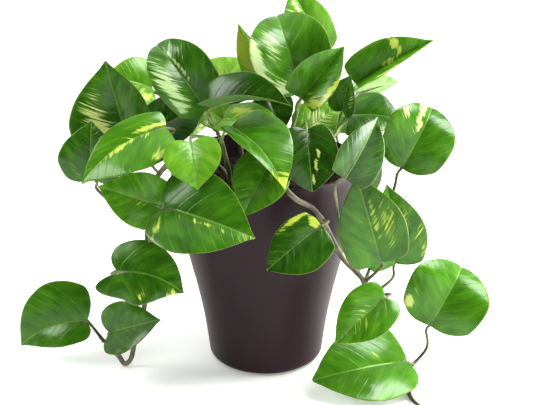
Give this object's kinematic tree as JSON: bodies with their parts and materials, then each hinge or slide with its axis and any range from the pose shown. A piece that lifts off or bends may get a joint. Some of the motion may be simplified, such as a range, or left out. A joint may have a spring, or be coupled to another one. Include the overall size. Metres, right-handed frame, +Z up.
{
  "type": "potted plant",
  "caption": "Trailing golden pothos with streaked heart-shaped leaves, growing in a tapered dark plum pot.",
  "frame": {"origin": "centre of the pot's flat foot, where it rests on the surface", "axes": "+Z up along the pot's axis; the plant's front faces -Y, so its own left is on -X as seen from the front"},
  "size_m": [0.3749, 0.2439, 0.2974],
  "materials": {
    "pot_plastic": "satin, dark plum-brown",
    "potting_soil": "loose and matte",
    "stem": "green-brown, slightly waxy",
    "leaf": "waxy, green with cream and yellow streaks"
  },
  "bodies": {
    "root": {"pot": "pot_plastic", "soil": "potting_soil", "left_vine": "stem", "right_vine": "stem", "crown_left": "stem", "crown_middle": "stem", "crown_right": "stem", "back_left": "stem", "back_right": "stem", "leaf_back_1": "leaf", "leaf_back_2": "leaf", "leaf_back_3": "leaf", "leaf_back_4": "leaf", "leaf_back_5": "leaf", "leaf_back_6": "leaf", "leaf_back_7": "leaf", "leaf_before_pot": "leaf", "leaf_boat_left": "leaf", "leaf_boat_right": "leaf", "leaf_broad_streaked": "leaf", "leaf_dark_heart": "leaf", "leaf_dark_middle": "leaf", "leaf_faded_right": "leaf", "leaf_front_left": "leaf", "leaf_hanging": "leaf", "leaf_left_back": "leaf", "leaf_left_last": "leaf", "leaf_left_long": "leaf", "leaf_left_low": "leaf", "leaf_left_outer": "leaf", "leaf_left_shaded": "leaf", "leaf_left_small": "leaf", "leaf_left_trailing": "leaf", "leaf_left_upright": "leaf", "leaf_light_behind": "leaf", "leaf_light_middle": "leaf", "leaf_narrow": "leaf", "leaf_on_surface": "leaf", "leaf_over_rim": "leaf", "leaf_pale_back": "leaf", "leaf_pale_right": "leaf", "leaf_reaching_right": "leaf", "leaf_right_back": "leaf", "leaf_right_hanging": "leaf", "leaf_right_last": "leaf", "leaf_right_shaded": "leaf", "leaf_right_streaked": "leaf", "leaf_round_right": "leaf", "leaf_small_heart": "leaf", "leaf_speckled": "leaf", "leaf_tall": "leaf", "leaf_top": "leaf", "leaf_yellow_edge": "leaf", "leaf_yellow_tip": "leaf"}
  },
  "joints": []
}
